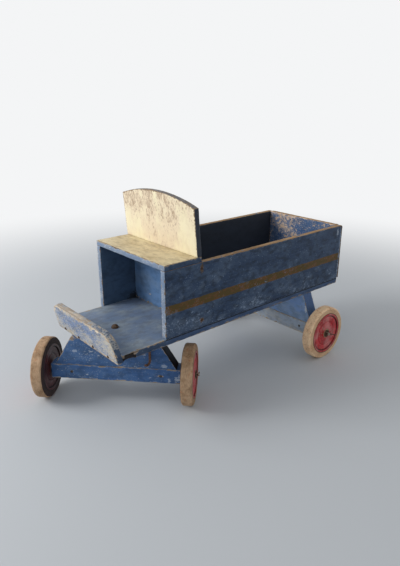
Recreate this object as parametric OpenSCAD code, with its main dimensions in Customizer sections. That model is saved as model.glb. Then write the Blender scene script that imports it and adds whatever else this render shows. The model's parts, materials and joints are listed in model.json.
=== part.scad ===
// A child's wooden cart: a long floor board with a front deck, a seat box and an
// open cargo box on top, and two plank axles below. The front axle turns on a
// kingpin and each of the four rubber-tyred wheels turns on its own steel pin.
// Millimetres. X points forward, Y to the cart's left, Z up. The origin lies on
// the ground under the middle of the cart's outer box.

/* [Floor board] */
// Width of the floor board
floor_w = 320; // [280:1:380]
// Thickness of the floor board
floor_t = 18; // [14:0.5:24]
// Height of the floor board's underside above the ground
floor_z = 210; // [205:1:240]
// Length of the open deck ahead of the seat box
deck_l = 140; // [126:1:180]
// How far the floor board stops short of the cart's rear face
floor_setback = 10; // [0:1:14]

/* [Side panels] */
// Length of the side panels
side_l = 782; // [700:1:900]
// Height of the left panel above the floor board
side_h = 193; // [160:1:230]
// Thickness of the side panels
side_t = 18; // [15:0.5:22]
// Radius of the upper rear corners of the side panels
side_corner_r = 9; // [2:0.5:20]
// Thickness of the tailboard
tail_t = 18; // [14:0.5:24]

/* [Seat] */
// Depth of the seat board from front to back
seat_depth = 128; // [110:1:170]
// Thickness of the seat board
seat_t = 16; // [12:0.5:22]
// Thickness of the seat back
back_t = 16; // [12:0.5:22]
// Height of the seat back at its two ends
back_h = 134; // [100:1:180]
// How much higher the middle of the arch stands than its ends
back_rise = 26; // [12:1:40]
// Forward lean of the seat back in degrees
back_lean = 4.5; // [0:0.5:8]
// Thickness of the partition between leg space and cargo box
partition_t = 16; // [13:0.5:22]
// How much of the partition's top edge the seat board covers
partition_lap = 8; // [3:0.5:12]

/* [Nose board] */
// Height of the nose board along its face
nose_h = 85; // [70:1:110]
// Thickness of the nose board
nose_t = 18; // [12:0.5:24]
// Forward lean of the nose board in degrees
nose_lean = 14; // [5:0.5:20]
// Radius of the nose board's upper corners
nose_corner_r = 40; // [10:1:60]
// How far the nose board reaches below the floor board
nose_drop = 6; // [0:1:6]

/* [Wheels] */
// Outer diameter of the wheels
wheel_d = 180; // [164:1:186]
// Width of the tyres
tyre_w = 34; // [26:1:40]
// Radial thickness of the tyres
tyre_h = 21; // [16:0.5:26]
// Radius of the tyres' outer edges
tyre_edge_r = 7; // [3:0.5:10]
// Depth of the dished field in both faces of the discs
disc_dish = 2.5; // [1:0.25:5]
// Width of the raised rim on the discs
disc_rim = 7; // [4:0.5:10]
// Diameter of the raised boss around the hub
boss_d = 34; // [28:1:44]
// Outer diameter of the steel hub bush
bush_d = 15; // [13.5:0.5:20]
// How far the hub bush stands out of the disc on each side
bush_proud = 1; // [0.5:0.25:3]

/* [Axles] */
// Diameter of the steel axle pins
axle_d = 10; // [8:0.5:12]
// Length of axle pin held in the beam
pin_grip = 110; // [60:1:120]
// Length of axle pin beyond the outer washer
pin_end = 9; // [7:0.5:14]
// Distance of the kingpin behind the front edge of the deck
kingpin_back = 80; // [50:1:90]
// Distance of the rear axle ahead of the rear end of the side panels
rear_axle_inset = 172; // [132:1:242]
// Height of both axle beams
beam_h = 45; // [40:0.5:52]
// Depth of the beams and bolsters from front to back
beam_depth = 44; // [40:0.5:60]
// Length of the front axle beam
front_beam_l = 386; // [360:1:440]
// Length of the rear axle beam
rear_beam_l = 424; // [396:1:460]
// Length of the front bolster at its top
front_top_l = 254; // [200:1:290]
// Length of the front bolster at its bottom
front_bottom_l = 358; // [300:1:358]
// How far the top of the rear bolster stops short of each edge of the floor board
rear_top_inset = 3; // [0:1:40]
// Length of the rear bolster at its bottom
rear_bottom_l = 396; // [340:1:396]
// Angle by which the front axle stands turned to the left
steer = 43; // [-90:1:90]

/* [Metal parts] */
// Shank diameter of the kingpin bolt
kingpin_d = 10; // [8:0.5:12]
// Diameter of the kingpin's domed head
king_head_d = 22; // [19:0.5:28]
// Height of the kingpin's domed head
king_head_h = 9.5; // [4:0.5:11]
// Thickness of the kingpin nut
nut_h = 8; // [6:0.5:9]
// Width of the kingpin nut across its flats
nut_flats = 17; // [16:0.5:19]
// Outer diameter of the washer under the kingpin nut
nut_washer_d = 26; // [23:0.5:30]
// Thickness of the two turning plates
plate_t = 3; // [2:0.5:4]
// Length and width of the turning plates
plate_s = 43; // [34:1:44]
// Thickness of the washer between the turning plates
pivot_t = 4; // [2.5:0.5:6]
// Outer diameter of the washer between the turning plates
pivot_d = 38; // [28:1:40]
// Thickness of the wheel washers
washer_t = 1.6; // [1:0.1:2.5]
// Outer diameter of the wheel washers
washer_d = 24; // [20:0.5:28]
// Diameter of the cotter nails
cotter_d = 3; // [2:0.25:3.5]
// Length of the cotter nails behind the axle pins
cotter_l = 44; // [20:1:55]
// Angle by which the cotter nails point down to the rear
cotter_tilt = 22; // [0:1:45]
// Head diameter of the wood screws
screw_head_d = 9; // [7:0.5:11]
// Shank diameter of the wood screws
screw_d = 4; // [3:0.25:4.5]
// Length of the wood screws that join boards
screw_l = 42; // [32:1:50]
// Distance of the beam screws from the ends of the beams
lock_inset = 62; // [30:1:80]
// Wire diameter of the rope hook
hook_d = 7; // [4:0.5:8]
// Distance of the rope hook from the middle of the bolster
hook_y = 112; // [60:1:112]
// Straight drop of the rope hook
hook_drop = 31; // [20:1:44]

/* [Hidden] */

// Fineness of round surfaces
$fn = 96;

// Running clearance of a pin in its bore, on the radius
run = 0.06;
// Clearance of a piece pressed or driven into its seat, on the radius
seat_gap = 0.04;
// End play between faces that turn past each other
play = 0.3;
// Overshoot of a cut past the face that it opens
cut = 1;

// Heights
wheel_r = wheel_d / 2;
floor_top = floor_z + floor_t;
body_top = floor_top + side_h;
seat_top = body_top + seat_t;
beam_z = wheel_r - beam_h / 2;
beam_top = wheel_r + beam_h / 2;
pivot_stack = 2 * plate_t + pivot_t;
front_bolster_top = floor_z - pivot_stack;

// Axles: both keep their place at their own end of the cart
kingpin_x = deck_l - kingpin_back;
rear_axle_x = side_l - rear_axle_inset;
rear_top_l = floor_w - 2 * rear_top_inset;

// Widths: the left panel stands on the floor board, the right one laps its edge
floor_left = floor_w / 2;
floor_right = -floor_w / 2;
body_left = floor_left;
body_right = floor_right - side_t;
body_w = body_left - body_right;
inner_left = floor_left - side_t;
inner_right = floor_right;
inner_w = inner_left - inner_right;

// Seat box
partition_x = seat_depth - partition_lap;
// The foot of the leaning seat back ends flush with the rear of the seat board
back_foot = back_t / cos(back_lean);
back_reach = back_h + back_rise;
arch_r = (body_w * body_w / 4 + back_rise * back_rise) / (2 * back_rise);

// Wheels
disc_r = wheel_r - tyre_h;
groove_w = 2.2;
groove_depth = disc_dish + 2;

// Positions along a wheel's axle, from the face of its beam outwards
wheel_in = washer_t + play + bush_proud;
wheel_out = wheel_in + tyre_w;
outer_washer_in = wheel_out + bush_proud + play;
outer_washer_out = outer_washer_in + washer_t;
pin_out = outer_washer_out + pin_end;
cotter_head_t = 1.2;
cotter_head_d = 2 * cotter_d;
cotter_z = outer_washer_out + cotter_head_d / 2 + play;

// Kingpin
king_neck = 7;
king_end = 4;
nut_washer_t = 2;
nut_recess_gap = 2;
nut_recess_d = nut_washer_d + 2 * nut_recess_gap;
nut_recess_h = nut_washer_t + nut_h + king_end;
nut_washer_top = beam_z + nut_recess_h - play;
nut_top = nut_washer_top - nut_washer_t;
king_bottom = nut_top - nut_h - king_end + cut;

// Screws
screw_head_h = 2.4;
screw_slot_w = 1.2;
screw_slot_depth = 1;
// Margins of the partition screws from the lower and the upper edge of the partition
partition_screw_low = 22;
partition_screw_high = 17;
nose_screw_count = 4;
nose_screw_margin = 45;
nose_screw_down = 11;
// The beam screws stop just short of the axle pins
lock_screw_l = beam_depth / 2 - axle_d / 2 - 2 * cut;

// Nose board: how far its lower edge lies below the deck, and its foremost edge
nose_below = (floor_t + nose_drop - nose_t * sin(nose_lean)) / cos(nose_lean);
nose_front = deck_l + nose_t * cos(nose_lean) + (nose_h - nose_below) * sin(nose_lean);

// Rope hook
hook_root = 20;
hook_stand = 6;
hook_bend_r = 7;
hook_curl_r = 11;
hook_curl = 130;
hook_turn = 35;
hook_below = 16;
hook_z = front_bolster_top - hook_below;

// The outer box of the whole cart, for the origin
front_pin_reach = front_beam_l / 2 + pin_out;
front_wheel_mid = front_beam_l / 2 + (wheel_in + wheel_out) / 2;
turn = abs(steer);
wheel_reach = sin(turn) * (front_wheel_mid + tyre_w / 2 - tyre_edge_r)
    + cos(turn) * (wheel_r - tyre_edge_r) + tyre_edge_r;
pin_reach = sin(turn) * front_pin_reach + cos(turn) * axle_d / 2;
front_most = max(kingpin_x + max(wheel_reach, pin_reach), nose_front);
rear_most = max(side_l, rear_axle_x + wheel_r);
mid_x = (front_most - rear_most) / 2;

// Places the children of a module from the seat box front into the cart's frame
module at_body() {
    translate([-mid_x, 0, 0]) children();
}

// Places the front axle, drawn along Y, on the kingpin and turned
module at_front() {
    at_body() translate([kingpin_x, 0, 0]) rotate([0, 0, steer]) children();
}

// Places the rear axle, drawn along Y
module at_rear() {
    at_body() translate([-rear_axle_x, 0, 0]) children();
}

// Draws the children on the left or, mirrored, on the right side of an axle
module on_side(side) {
    if (side > 0) children();
    else mirror([0, 1, 0]) children();
}

// The waste of a corner of radius r whose tip lies at the origin
module corner_waste(r) {
    difference() {
        translate([-r, -r]) square(r + cut);
        translate([-r, -r]) circle(r);
    }
}

// A domed cap that stands on Z = 0
module dome(d, h) {
    sphere_r = (d * d / 4 + h * h) / (2 * h);
    intersection() {
        translate([0, 0, h - sphere_r]) sphere(sphere_r);
        cylinder(d = d, h = h);
    }
}

// A wood screw along -Z with its domed head on Z = 0
module wood_screw(l) {
    difference() {
        union() {
            dome(screw_head_d, screw_head_h);
            translate([0, 0, -l]) cylinder(d = screw_d, h = l + screw_head_h / 2);
        }
        translate([-screw_head_d, -screw_slot_w / 2, screw_head_h - screw_slot_depth])
            cube([2 * screw_head_d, screw_slot_w, screw_head_h]);
    }
}

// The hole for a wood screw
module screw_hole(l) {
    translate([0, 0, -l - cut]) cylinder(d = screw_d + 2 * seat_gap, h = l + 2 * cut);
}

// Positions of the screws through a side panel into the partition
module at_partition_screws(y, tilt) {
    for (z = [partition_screw_low, side_h - partition_screw_high])
        translate([-partition_x - partition_t / 2, y, floor_top + z])
            rotate([tilt, 0, 0]) children();
}

// The nose board's own frame: X up the board from the deck, Y across, Z from its
// front face to its back face
module at_nose() {
    translate([deck_l, 0, floor_top]) rotate([0, nose_lean, 0]) rotate([0, -90, 0])
        translate([0, 0, -nose_t]) children();
}

// Positions of the screws through the nose board into the floor board
module at_nose_screws() {
    step = (floor_w - 2 * nose_screw_margin) / (nose_screw_count - 1);
    for (i = [0 : nose_screw_count - 1])
        at_nose()
            translate([-nose_screw_down, floor_right + nose_screw_margin + i * step, 0])
            rotate([180, 0, 0]) children();
}

module floor_board() {
    back = -(side_l - floor_setback);
    color("slategray") at_body() difference() {
        translate([back, floor_right, floor_z])
            cube([deck_l - back + nose_t, floor_w, floor_t]);
        at_nose() translate([-floor_w, -floor_w, -floor_w + nose_t])
            cube([2 * floor_w, 2 * floor_w, floor_w]);
        translate([kingpin_x, 0, floor_z - cut])
            cylinder(d = kingpin_d + 2 * seat_gap, h = floor_t + 2 * cut);
        translate([kingpin_x - kingpin_d / 2 - seat_gap, -kingpin_d / 2 - seat_gap,
            floor_top - king_neck])
            cube([kingpin_d + 2 * seat_gap, kingpin_d + 2 * seat_gap, king_neck + cut]);
        at_nose_screws() screw_hole(screw_l);
    }
}

// A side panel's outline from its lower front corner, with the rear corner rounded
module side_outline(h) {
    difference() {
        translate([-side_l, 0]) square([side_l, h]);
        translate([-side_l, h]) mirror([1, 0]) corner_waste(side_corner_r);
    }
}

module side_panel_left() {
    color("midnightblue") at_body() difference() {
        translate([0, body_left, floor_top]) rotate([90, 0, 0])
            linear_extrude(side_t) side_outline(side_h);
        at_partition_screws(body_left, -90) screw_hole(screw_l);
    }
}

module side_panel_right() {
    color("midnightblue") at_body() difference() {
        translate([0, floor_right, floor_z]) rotate([90, 0, 0])
            linear_extrude(side_t) side_outline(side_h + floor_t);
        at_partition_screws(body_right, 90) screw_hole(screw_l);
    }
}

module partition() {
    color("steelblue") at_body() difference() {
        translate([-partition_x - partition_t, inner_right, floor_top])
            cube([partition_t, inner_w, side_h]);
        at_partition_screws(body_left, -90) screw_hole(screw_l);
        at_partition_screws(body_right, 90) screw_hole(screw_l);
    }
}

module tailboard() {
    color("steelblue") at_body() translate([-side_l, inner_right, floor_top])
        cube([tail_t, inner_w, side_h]);
}

module seat_board() {
    color("wheat") at_body() translate([-seat_depth, body_right, body_top])
        cube([seat_depth, body_w, seat_t]);
}

// The seat back's outline: X along the board, Y up from the seat
module back_outline() {
    intersection() {
        translate([-body_w / 2, -back_t]) square([body_w, back_reach + back_t]);
        translate([0, back_reach - arch_r]) circle(arch_r, $fn = 360);
    }
}

module seat_back() {
    color("wheat") at_body() intersection() {
        translate([-seat_depth + back_foot, (body_left + body_right) / 2, seat_top])
            rotate([0, back_lean, 0]) rotate([90, 0, -90])
            linear_extrude(back_t) back_outline();
        translate([-seat_depth - back_reach, body_right - cut, seat_top])
            cube([2 * back_reach, body_w + 2 * cut, 2 * back_reach]);
    }
}

module nose_board() {
    top = nose_h - nose_below;
    color("slategray") at_body() difference() {
        at_nose() linear_extrude(nose_t) difference() {
            translate([-nose_below, floor_right]) square([nose_h, floor_w]);
            translate([top, floor_left]) corner_waste(nose_corner_r);
            translate([top, floor_right]) mirror([0, 1]) corner_waste(nose_corner_r);
        }
        at_nose_screws() screw_hole(screw_l);
    }
}

module nose_screws() {
    color("dimgray") at_body() at_nose_screws() wood_screw(screw_l);
}

module partition_screws_left() {
    color("saddlebrown") at_body() at_partition_screws(body_left, -90) wood_screw(screw_l);
}

module partition_screws_right() {
    color("saddlebrown") at_body() at_partition_screws(body_right, 90) wood_screw(screw_l);
}

// A bolster: an upright plank with sloping ends, drawn along Y
module bolster(top_l, bottom_l, z0, z1) {
    translate([beam_depth / 2, 0, 0]) rotate([90, 0, -90])
        linear_extrude(beam_depth)
        polygon([[-bottom_l / 2, z0], [bottom_l / 2, z0], [top_l / 2, z1], [-top_l / 2, z1]]);
}

// An axle beam along Y, bored at both ends for the axle pins
module beam(l) {
    difference() {
        translate([-beam_depth / 2, -l / 2, beam_z]) cube([beam_depth, l, beam_h]);
        for (side = [1, -1]) on_side(side) {
            translate([0, l / 2 + cut, wheel_r]) rotate([90, 0, 0])
                cylinder(d = axle_d + 2 * seat_gap, h = pin_grip + cut);
            at_lock_screw(l) screw_hole(lock_screw_l);
        }
    }
}

// Position of the screw that holds an axle pin in its beam
module at_lock_screw(l) {
    translate([beam_depth / 2, l / 2 - lock_inset, wheel_r]) rotate([0, 90, 0]) children();
}

module lock_screws(l) {
    for (side = [1, -1]) on_side(side) at_lock_screw(l) wood_screw(lock_screw_l);
}

// Places the children, drawn on the left of an axle along Y, on one of the four sides
module at_wheel(front, side) {
    if (front) at_front() on_side(side) children();
    else at_rear() on_side(side) children();
}

// Half the length of the beam behind a wheel
function half_beam(front) = (front ? front_beam_l : rear_beam_l) / 2;

// An axle's own frame at the end face of its beam: Z outwards along the pin, Y down
module at_pin(front, side) {
    at_wheel(front, side) translate([0, half_beam(front), wheel_r]) rotate([-90, 0, 0])
        children();
}

// The place of a cotter nail: Z along the nail to the rear
module at_cotter() {
    translate([0, 0, cotter_z]) rotate([0, 0, -cotter_tilt]) rotate([0, -90, 0]) children();
}

// An axle pin with its cross hole for the cotter nail
module axle_pin(front, side) {
    color("dimgray") at_pin(front, side) difference() {
        translate([0, 0, -pin_grip]) cylinder(d = axle_d, h = pin_grip + pin_out);
        at_cotter() cylinder(d = cotter_d + 2 * seat_gap, h = 2 * axle_d, center = true);
    }
}

module rear_bolster() {
    color("cornflowerblue") at_rear() bolster(rear_top_l, rear_bottom_l, beam_top, floor_z);
}

module rear_axle_beam() {
    color("cornflowerblue") at_rear() beam(rear_beam_l);
}

module rear_lock_screws() {
    color("dimgray") at_rear() lock_screws(rear_beam_l);
}

module turning_plate_floor() {
    color("dimgray") at_body() translate([kingpin_x, 0, floor_z - plate_t])
        turning_plate(seat_gap);
}

// A square plate with a hole for the kingpin, standing on Z = 0
module turning_plate(gap) {
    difference() {
        translate([-plate_s / 2, -plate_s / 2, 0]) cube([plate_s, plate_s, plate_t]);
        translate([0, 0, -cut]) cylinder(d = kingpin_d + 2 * gap, h = plate_t + 2 * cut);
    }
}

// A flat washer standing on Z = 0
module washer(d, bore, t) {
    difference() {
        cylinder(d = d, h = t);
        translate([0, 0, -cut]) cylinder(d = bore, h = t + 2 * cut);
    }
}

module kingpin_bolt() {
    color("saddlebrown") at_body() translate([kingpin_x, 0, 0]) {
        translate([0, 0, floor_top]) dome(king_head_d, king_head_h);
        translate([-kingpin_d / 2, -kingpin_d / 2, floor_top - king_neck])
            cube([kingpin_d, kingpin_d, king_neck]);
        translate([0, 0, king_bottom])
            cylinder(d = kingpin_d, h = floor_top - king_bottom);
    }
}

module kingpin_washer() {
    color("dimgray") at_body() translate([kingpin_x, 0, nut_top])
        washer(nut_washer_d, kingpin_d + 2 * seat_gap, nut_washer_t);
}

module kingpin_nut() {
    color("dimgray") at_body() translate([kingpin_x, 0, nut_top - nut_h]) difference() {
        cylinder(d = nut_flats / cos(30), h = nut_h, $fn = 6);
        translate([0, 0, -cut]) cylinder(d = kingpin_d + 2 * seat_gap, h = nut_h + 2 * cut);
    }
}

module turning_plate_bolster() {
    color("dimgray") at_front() translate([0, 0, front_bolster_top]) turning_plate(run);
}

module pivot_washer() {
    color("gray") at_front() translate([0, 0, front_bolster_top + plate_t])
        washer(pivot_d, kingpin_d + 2 * run, pivot_t);
}

module front_bolster() {
    color("royalblue") at_front() difference() {
        bolster(front_top_l, front_bottom_l, beam_top, front_bolster_top);
        translate([0, 0, beam_top - cut])
            cylinder(d = kingpin_d + 2 * run, h = front_bolster_top - beam_top + 2 * cut);
        at_hook() translate([0, 0, -hook_root - cut])
            cylinder(d = hook_d + 2 * seat_gap, h = hook_root + cut + hook_stand);
    }
}

module front_axle_beam() {
    color("royalblue") at_front() difference() {
        beam(front_beam_l);
        translate([0, 0, beam_z - cut]) cylinder(d = kingpin_d + 2 * run, h = beam_h + 2 * cut);
        translate([0, 0, beam_z - cut]) cylinder(d = nut_recess_d, h = nut_recess_h + cut);
    }
}

module front_lock_screws() {
    color("dimgray") at_front() lock_screws(front_beam_l);
}

// The hook's own frame on the bolster: Z out of its front face, X down. The wire is
// driven in at a slant, so that the whole hook lies in one upright plane.
module at_hook() {
    translate([beam_depth / 2, hook_y, hook_z]) rotate([0, 0, -hook_turn]) rotate([0, 90, 0])
        children();
}

// An arc of wire that starts at the origin along Z and bends towards X
module wire_arc(r, a) {
    rotate([90, 0, 180]) translate([-r, 0, 0])
        rotate_extrude(angle = a) translate([r, 0]) circle(d = hook_d, $fn = 32);
}

module rope_hook() {
    color("sienna") at_front() at_hook() {
        translate([0, 0, -hook_root]) cylinder(d = hook_d, h = hook_root + hook_stand);
        translate([0, 0, hook_stand]) {
            wire_arc(hook_bend_r, 90);
            translate([hook_bend_r, 0, hook_bend_r]) rotate([0, 90, 0]) {
                cylinder(d = hook_d, h = hook_drop);
                translate([0, 0, hook_drop]) rotate([0, 0, 180]) wire_arc(hook_curl_r, hook_curl);
            }
        }
    }
}

// Half of a wheel piece's section, from its axis outwards, turned into the piece
module tyre(front, side) {
    color("tan") at_pin(front, side) translate([0, 0, wheel_in]) rotate_extrude() difference() {
        translate([disc_r + seat_gap, 0]) square([tyre_h - seat_gap, tyre_w]);
        translate([wheel_r, tyre_w]) corner_waste(tyre_edge_r);
        translate([wheel_r, 0]) mirror([0, 1]) corner_waste(tyre_edge_r);
    }
}

// The dished field and the two grooves in one face of a disc, from that face inwards
module disc_face_cut() {
    boss_r = boss_d / 2;
    field_r = disc_r - disc_rim;
    translate([boss_r, -cut]) square([field_r - boss_r, disc_dish + cut]);
    for (r = [field_r - groove_w, (field_r + boss_r) / 2])
        translate([r, -cut]) square([groove_w, groove_depth + cut]);
}

module disc(front, side) {
    bore_r = bush_d / 2 + seat_gap;
    color("firebrick") at_pin(front, side) translate([0, 0, wheel_in]) rotate_extrude()
        difference() {
            translate([bore_r, 0]) square([disc_r - bore_r, tyre_w]);
            disc_face_cut();
            translate([0, tyre_w]) mirror([0, 1]) disc_face_cut();
        }
}

module bush(front, side) {
    color("dimgray") at_pin(front, side) translate([0, 0, wheel_in - bush_proud])
        washer(bush_d, axle_d + 2 * run, tyre_w + 2 * bush_proud);
}

module inner_washer(front, side) {
    color("dimgray") at_pin(front, side) washer(washer_d, axle_d + 2 * seat_gap, washer_t);
}

module outer_washer(front, side) {
    color("dimgray") at_pin(front, side) translate([0, 0, outer_washer_in])
        washer(washer_d, axle_d + 2 * seat_gap, washer_t);
}

// A cotter nail with its head in front of the axle pin and its leg behind it
module cotter(front, side) {
    start = -axle_d / 2 - cotter_head_t;
    color("dimgray") at_pin(front, side) at_cotter() translate([0, 0, start]) {
        cylinder(d = cotter_head_d, h = cotter_head_t);
        cylinder(d = cotter_d, h = cotter_l + axle_d / 2 - start);
    }
}

floor_board();
side_panel_left();
side_panel_right();
partition();
tailboard();
seat_board();
seat_back();
nose_board();
nose_screws();
partition_screws_left();
partition_screws_right();
rear_bolster();
rear_axle_beam();
rear_lock_screws();
axle_pin(false, 1);  // axle_pin_rear_left
axle_pin(false, -1);  // axle_pin_rear_right
turning_plate_floor();
kingpin_bolt();
kingpin_washer();
kingpin_nut();
turning_plate_bolster();
pivot_washer();
front_bolster();
front_axle_beam();
front_lock_screws();
axle_pin(true, 1);  // axle_pin_front_left
axle_pin(true, -1);  // axle_pin_front_right
rope_hook();
tyre(true, 1);  // tyre_front_left
tyre(true, -1);  // tyre_front_right
tyre(false, 1);  // tyre_rear_left
tyre(false, -1);  // tyre_rear_right
disc(true, 1);  // disc_front_left
disc(true, -1);  // disc_front_right
disc(false, 1);  // disc_rear_left
disc(false, -1);  // disc_rear_right
bush(true, 1);  // bush_front_left
bush(true, -1);  // bush_front_right
bush(false, 1);  // bush_rear_left
bush(false, -1);  // bush_rear_right
inner_washer(true, 1);  // inner_washer_front_left
inner_washer(true, -1);  // inner_washer_front_right
inner_washer(false, 1);  // inner_washer_rear_left
inner_washer(false, -1);  // inner_washer_rear_right
outer_washer(true, 1);  // outer_washer_front_left
outer_washer(true, -1);  // outer_washer_front_right
outer_washer(false, 1);  // outer_washer_rear_left
outer_washer(false, -1);  // outer_washer_rear_right
cotter(true, 1);  // cotter_front_left
cotter(true, -1);  // cotter_front_right
cotter(false, 1);  // cotter_rear_left
cotter(false, -1);  // cotter_rear_right
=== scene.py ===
import json
import math
from functools import partial

import bpy
import numpy as np
from mathutils import Matrix, Vector


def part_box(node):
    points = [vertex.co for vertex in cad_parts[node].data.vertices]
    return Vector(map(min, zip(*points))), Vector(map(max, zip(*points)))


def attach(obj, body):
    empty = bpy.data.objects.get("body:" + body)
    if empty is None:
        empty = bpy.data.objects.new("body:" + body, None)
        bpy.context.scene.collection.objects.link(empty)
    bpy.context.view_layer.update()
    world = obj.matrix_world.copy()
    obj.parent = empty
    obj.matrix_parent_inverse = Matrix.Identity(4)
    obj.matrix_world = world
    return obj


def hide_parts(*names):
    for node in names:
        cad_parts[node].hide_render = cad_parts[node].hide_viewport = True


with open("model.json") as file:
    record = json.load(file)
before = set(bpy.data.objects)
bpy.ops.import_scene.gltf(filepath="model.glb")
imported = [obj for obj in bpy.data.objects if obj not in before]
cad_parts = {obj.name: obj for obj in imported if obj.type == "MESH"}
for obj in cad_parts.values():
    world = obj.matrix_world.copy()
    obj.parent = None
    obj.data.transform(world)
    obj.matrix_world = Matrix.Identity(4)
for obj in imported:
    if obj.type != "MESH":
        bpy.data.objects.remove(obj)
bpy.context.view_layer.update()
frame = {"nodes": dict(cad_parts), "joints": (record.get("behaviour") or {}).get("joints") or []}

MM = 0.001
X, Y, Z = range(3)
scene = bpy.context.scene

# ---------------------------------------------------------------- sizes
# Lengths in metres, angles in radians. Where a piece stands comes from the frame; these
# are the sizes that a box of a leaning or turned piece doesn't give.
BACK_LEAN = math.radians(4.5)
BACK_THICKNESS = 16 * MM
BACK_REACH = 160 * MM
BACK_RISE = 26 * MM
NOSE_LEAN = math.radians(14)
NOSE_THICKNESS = 18 * MM
NOSE_HEIGHT = 85 * MM
NOSE_BELOW_DECK = 20.25 * MM
NOSE_CORNER = 40 * MM
PANEL_CORNER = 9 * MM
SIDE_THICKNESS = 18 * MM
BEAM_DEPTH = 44 * MM
BEAM_SCREW_IN = 62 * MM
FRONT_BEAM_LENGTH = 386 * MM
FRONT_BOLSTER_TOP = 254 * MM
FRONT_BOLSTER_FOOT = 358 * MM
REAR_BOLSTER_TOP = 314 * MM
NUT_RECESS_RADIUS = 15 * MM
NUT_RECESS_DEPTH = 14 * MM
TYRE_HEIGHT = 21 * MM
TYRE_EDGE = 7 * MM
TYRE_WIDTH = 34 * MM
DISC_DISH = 2.5 * MM
DISC_RIM = 7 * MM
BOSS_RADIUS = 17 * MM
GROOVE_WIDTH = 2.2 * MM
GROOVE_DEPTH = 4.5 * MM
TYRE_CLEAR_OF_DISC = 0.04 * MM
WHEEL_STEPS = 128
ARCH_SIDES = 720

# The net into which a board is cut, so that its edges can chip and its faces can wear
NET = 7 * MM
FINE_NET = 6 * MM

# Paint stays whole in a band along an inside corner. Chips lie near the arrises, and where
# their pattern has this level the wood stays in place. A sheltered point counts as far off.
PAINT_BAND = 2 * MM
CHIPPED_WITHIN = 6 * MM
CHIP_LEVEL = 0.22
FAR_FROM_ARRIS = 30 * MM

# How far each piece's patterns are moved on from the last one's, so that no two are alike
BOARD_SHIFT = np.array([0.37, 0.61, 0.83])
WHEEL_SHIFT = np.array([0, 0, 0.13])

# How far rot, the marks in the paint and the painted shade in the foot well's far corner reach
# along X, Y and Z
LOW_PLUG = Vector((8, 8, 7)) * MM
HIGH_PLUG = Vector((6, 8, 14)) * MM
BEAM_PLUG = Vector((10, 10, 5)) * MM
CORNER_CHIP = Vector((14, 14, 9)) * MM
TOP_CORNER = Vector((18, 8, 10)) * MM
WHITE_KNOCK = Vector((8, 8, 5)) * MM
END_KNOCK = Vector((8, 5, 15)) * MM
SCUFF = Vector((4, 4, 8)) * MM
STREAK = Vector((4.5, 6, 13)) * MM
SCRAPE = Vector((3, 7, 2)) * MM
CORNER_SHADE_REACH = Vector((30, 14, 20)) * MM
ROT = Vector((19, 9, 9)) * MM
# How far, as a share of the hollow's size, the painted shade round the rot hollow reaches
ROT_SHADE_REACH = 1.25
STRIPE_LOW = 70 * MM
STRIPE_HIGH = 95 * MM
JOINT_LINE = 3.5 * MM

# An edge sharper than the first angle is an arris, and one flatter than the second is shaded
# smooth. A face looks along an axis when this share of its normal does, and leans from less.
ARRIS_ANGLE = math.radians(35)
SMOOTH_ANGLE = math.radians(40)
FACING, LEANING = 0.7, 0.5

# How much of the ground shows at a knock, and on the rim round bare wood
KNOCK_SHARE, RIM_SHARE = 0.75, 0.45
CHALK = "A8B6CA"

BACKGROUND = "F4F5F6"
FLOOR_GREY = "C4C8CC"
BACKDROP_FADE = (0.9, 2.6)
AMBIENT_COLOUR, AMBIENT_STRENGTH = "F6F8FA", 0.56
LAMP_AT, LAMP_TOWARDS = Vector((2.6, -1.7, 1.9)), Vector((0, 0, 0.25))
LAMP_WIDTH, LAMP_WATTS = 1.8, 75
CAMERA_AT = (1.0165, 1.1810, 0.8545)
CAMERA_LOOK = Vector((-0.6161, -0.7096, -0.3417))
CAMERA_SENSOR_MM, CAMERA_LENS_MM = 36, 33.255


# ---------------------------------------------------------------- materials
# Settings that many nodes share: a soft step between two values, a mix of colours, and the
# sum, difference, product or larger of two values
SOFT = {"interpolation_type": "SMOOTHSTEP"}
COLOURS = {"data_type": "RGBA"}
PLUS, MINUS, TIMES, LARGER = [{"operation": name}
                              for name in ("ADD", "SUBTRACT", "MULTIPLY", "MAXIMUM")]


def linear(colour):
    """An sRGB hex colour as the linear RGBA that a socket takes."""
    parts = [int(colour[i : i + 2], 16) / 255 for i in (0, 2, 4)]
    return (*[c / 12.92 if c <= 0.04045 else ((c + 0.055) / 1.055) ** 2.4 for c in parts], 1)


def feed(sockets, values):
    """Gives each socket that has a value a number, a hex colour or the output that feeds it."""
    for key, value in values.items():
        if isinstance(value, bpy.types.NodeSocket):
            value.id_data.links.new(value, sockets[key])
        else:
            sockets[key].default_value = linear(value) if isinstance(value, str) else value


def add_node(tree, kind, *feeds, result=None, **named):
    """Adds a node and returns its first open output, or the one that result says. The feeds go
    to its open sockets in order. A name with a capital is a socket too; any other is a
    setting."""
    made = tree.nodes.new("ShaderNode" + kind)
    for name, value in named.items():
        if name.islower():
            setattr(made, name, value)
    feed([socket for socket in made.inputs if socket.enabled], dict(enumerate(feeds)))
    feed(made.inputs, {name: value for name, value in named.items() if not name.islower()})
    if result is None:
        return next(socket for socket in made.outputs if socket.enabled)
    return made.outputs[result]


def start_material(name):
    """A new material, what adds a node to it, and its shader's sockets."""
    material = bpy.data.materials.new(name)
    material.use_nodes = True
    tree = material.node_tree
    return material, partial(add_node, tree), tree.nodes["Principled BSDF"].inputs


def layered(add, colour, *layers):
    """Lays colours over one another. Each layer is a pattern, its values where the layer begins
    and is fullest, how plain it is there, and its colour."""
    for pattern, low, high, most, over in layers:
        share = add("MapRange", pattern, low, high, 0.0, most, **SOFT)
        colour = add("Mix", share, colour, over, **COLOURS)
    return colour


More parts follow.
